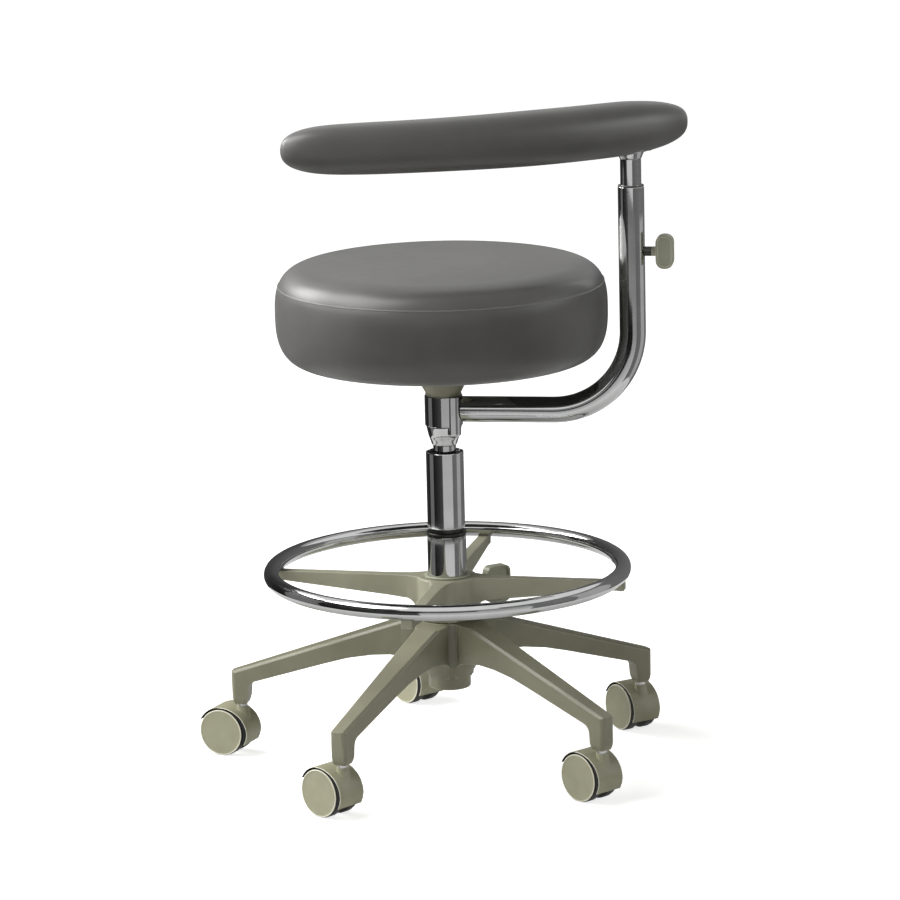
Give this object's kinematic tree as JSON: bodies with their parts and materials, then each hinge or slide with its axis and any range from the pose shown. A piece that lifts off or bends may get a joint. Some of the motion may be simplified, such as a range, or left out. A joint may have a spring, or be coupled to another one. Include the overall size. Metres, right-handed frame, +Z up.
{
  "type": "dental operator stool",
  "caption": "Round-seated stool on a gas lift with a swinging padded body support, a clamped foot ring and a five-arm base on hooded twin-wheel casters.",
  "frame": {"origin": "on the floor under the column's axis", "axes": "+Z up along the column; -Y towards the near side of the picture, +X to its right, where the pad's arm stands"},
  "size_m": [0.6168, 0.5658, 0.8218],
  "materials": {
    "putty_paint": "satin",
    "putty_plastic": "satin",
    "chrome": "polished",
    "bright_steel": "satin",
    "dark_steel": "satin",
    "black_plastic": "matte",
    "pale_nylon": "satin",
    "black_rubber": "matte",
    "plywood": "matte",
    "grey_vinyl": "satin"
  },
  "bodies": {
    "base": {"base_casting": "putty_paint", "stem_sleeves": "bright_steel", "column_lower": "chrome", "column_spigot": "dark_steel", "stop_ring": "dark_steel", "column_upper": "chrome", "guide_bush": "black_plastic", "column_foot": "bright_steel"},
    "caster_1": {"caster_hood_1": "putty_plastic", "caster_pins_1": "bright_steel"},
    "wheel_1_left": {"wheel_1_left": "putty_plastic"},
    "wheel_1_right": {"wheel_1_right": "putty_plastic"},
    "caster_2": {"caster_hood_2": "putty_plastic", "caster_pins_2": "bright_steel"},
    "wheel_2_left": {"wheel_2_left": "putty_plastic"},
    "wheel_2_right": {"wheel_2_right": "putty_plastic"},
    "caster_3": {"caster_hood_3": "putty_plastic", "caster_pins_3": "bright_steel"},
    "wheel_3_left": {"wheel_3_left": "putty_plastic"},
    "wheel_3_right": {"wheel_3_right": "putty_plastic"},
    "caster_4": {"caster_hood_4": "putty_plastic", "caster_pins_4": "bright_steel"},
    "wheel_4_left": {"wheel_4_left": "putty_plastic"},
    "wheel_4_right": {"wheel_4_right": "putty_plastic"},
    "caster_5": {"caster_hood_5": "putty_plastic", "caster_pins_5": "bright_steel"},
    "wheel_5_left": {"wheel_5_left": "putty_plastic"},
    "wheel_5_right": {"wheel_5_right": "putty_plastic"},
    "lift_rod": {"piston_rod": "bright_steel", "lift_buffer": "black_rubber", "thrust_bearing": "bright_steel", "rod_clip": "dark_steel"},
    "seat": {"gas_cylinder": "bright_steel", "seat_spindle": "putty_paint", "arm_retainer": "chrome", "seat_plate": "bright_steel", "seat_board": "plywood", "seat_screws": "bright_steel", "seat_cushion": "grey_vinyl"},
    "release_pin": {"release_pin": "bright_steel"},
    "lever": {"lever_rod": "bright_steel", "lever_grip": "black_plastic"},
    "arm": {"arm_hub": "chrome", "hub_bushes": "pale_nylon", "arm_tube": "chrome", "tube_liner": "black_plastic", "clamp_nut": "dark_steel"},
    "arm_knob": {"arm_knob": "putty_plastic", "arm_knob_screw": "bright_steel"},
    "post": {"post_tube": "chrome"},
    "pad": {"pad_bracket": "bright_steel", "pad_board": "plywood", "pad_screws": "bright_steel", "pad_cushion": "grey_vinyl"},
    "ring_liner": {"ring_liner": "putty_plastic"},
    "ring": {"ring_spider": "putty_paint", "foot_ring": "chrome", "ring_screws": "bright_steel"},
    "ring_knob": {"ring_knob": "putty_plastic", "ring_knob_screw": "bright_steel"}
  },
  "joints": [
    {"name": "caster_1_swivel", "type": "hinge", "parent": "base", "child": "caster_1", "pos_m": [-0.25927, 0.05181, 0.07], "axis": [0, 0, 1], "continuous": true},
    {"name": "wheel_1_left_spin", "type": "hinge", "parent": "caster_1", "child": "wheel_1_left", "pos_m": [-0.27912, 0.06131, 0.03], "axis": [-0.4321, -0.9018, 0], "continuous": true},
    {"name": "wheel_1_right_spin", "type": "hinge", "parent": "caster_1", "child": "wheel_1_right", "pos_m": [-0.27912, 0.06131, 0.03], "axis": [-0.4321, -0.9018, 0], "continuous": true},
    {"name": "caster_2_swivel", "type": "hinge", "parent": "base", "child": "caster_2", "pos_m": [-0.12939, -0.23058, 0.07], "axis": [0, 0, 1], "continuous": true},
    {"name": "wheel_2_left_spin", "type": "hinge", "parent": "caster_2", "child": "wheel_2_left", "pos_m": [-0.14525, -0.21532, 0.03], "axis": [-0.6934, -0.7206, 0], "continuous": true},
    {"name": "wheel_2_right_spin", "type": "hinge", "parent": "caster_2", "child": "wheel_2_right", "pos_m": [-0.14525, -0.21532, 0.03], "axis": [-0.6934, -0.7206, 0], "continuous": true},
    {"name": "caster_3_swivel", "type": "hinge", "parent": "base", "child": "caster_3", "pos_m": [0.1793, -0.19431, 0.07], "axis": [0, 0, 1], "continuous": true},
    {"name": "wheel_3_left_spin", "type": "hinge", "parent": "caster_3", "child": "wheel_3_left", "pos_m": [0.16473, -0.17783, 0.03], "axis": [-0.749, -0.6626, 0], "continuous": true},
    {"name": "wheel_3_right_spin", "type": "hinge", "parent": "caster_3", "child": "wheel_3_right", "pos_m": [0.16473, -0.17783, 0.03], "axis": [-0.749, -0.6626, 0], "continuous": true},
    {"name": "caster_4_swivel", "type": "hinge", "parent": "base", "child": "caster_4", "pos_m": [0.24021, 0.11048, 0.07], "axis": [0, 0, 1], "continuous": true},
    {"name": "wheel_4_left_spin", "type": "hinge", "parent": "caster_4", "child": "wheel_4_left", "pos_m": [0.22872, 0.12924, 0.03], "axis": [-0.8526, -0.5225, 0], "continuous": true},
    {"name": "wheel_4_right_spin", "type": "hinge", "parent": "caster_4", "child": "wheel_4_right", "pos_m": [0.22872, 0.12924, 0.03], "axis": [-0.8526, -0.5225, 0], "continuous": true},
    {"name": "caster_5_swivel", "type": "hinge", "parent": "base", "child": "caster_5", "pos_m": [-0.03085, 0.26259, 0.07], "axis": [0, 0, 1], "continuous": true},
    {"name": "wheel_5_left_spin", "type": "hinge", "parent": "caster_5", "child": "wheel_5_left", "pos_m": [-0.04439, 0.27993, 0.03], "axis": [-0.788, -0.6157, 0], "continuous": true},
    {"name": "wheel_5_right_spin", "type": "hinge", "parent": "caster_5", "child": "wheel_5_right", "pos_m": [-0.04439, 0.27993, 0.03], "axis": [-0.788, -0.6157, 0], "continuous": true},
    {"name": "seat_swivel", "type": "hinge", "parent": "base", "child": "lift_rod", "pos_m": [0, 0, 0.1], "axis": [0, 0, 1], "continuous": true},
    {"name": "seat_lift", "type": "slide", "parent": "lift_rod", "child": "seat", "axis": [0, 0, 1], "range_m": [0, 0.15]},
    {"name": "lever_lift", "type": "hinge", "parent": "seat", "child": "lever", "pos_m": [0, 0.02, 0.4781], "axis": [1, 0, 0], "range_deg": [0, 6], "stiffness_Nm_per_rad": 4, "springref_deg": -2.86},
    {"name": "release_pin_slide", "type": "slide", "parent": "seat", "child": "release_pin", "axis": [0, 0, 1], "range_m": [-0.003, 0]},
    {"name": "arm_swing", "type": "hinge", "parent": "seat", "child": "arm", "pos_m": [0, 0, 0.44495], "axis": [0, 0, 1], "continuous": true},
    {"name": "arm_knob_turn", "type": "hinge", "parent": "arm", "child": "arm_knob", "pos_m": [0.23008, -0.0348, 0.63995], "axis": [0.9888, -0.1495, 0], "continuous": true},
    {"name": "post_height", "type": "slide", "parent": "arm", "child": "post", "axis": [0, 0, 1], "range_m": [-0.025, 0.04]},
    {"name": "pad_turn", "type": "hinge", "parent": "post", "child": "pad", "pos_m": [0.23008, -0.0348, 0.75255], "axis": [0, 0, 1], "continuous": true},
    {"name": "ring_height", "type": "slide", "parent": "base", "child": "ring_liner", "axis": [0, 0, 1], "range_m": [0, 0.049]},
    {"name": "ring_turn", "type": "hinge", "parent": "ring_liner", "child": "ring", "pos_m": [0, 0, 0.21], "axis": [0, 0, 1], "continuous": true},
    {"name": "ring_knob_turn", "type": "hinge", "parent": "ring", "child": "ring_knob", "pos_m": [0.05088, 0.03179, 0.21542], "axis": [0.848, 0.5299, 0], "continuous": true}
  ],
  "couplings": [
    {"joint": "release_pin_slide", "follows": "lever_lift", "m_per_rad": -0.0235}
  ]
}
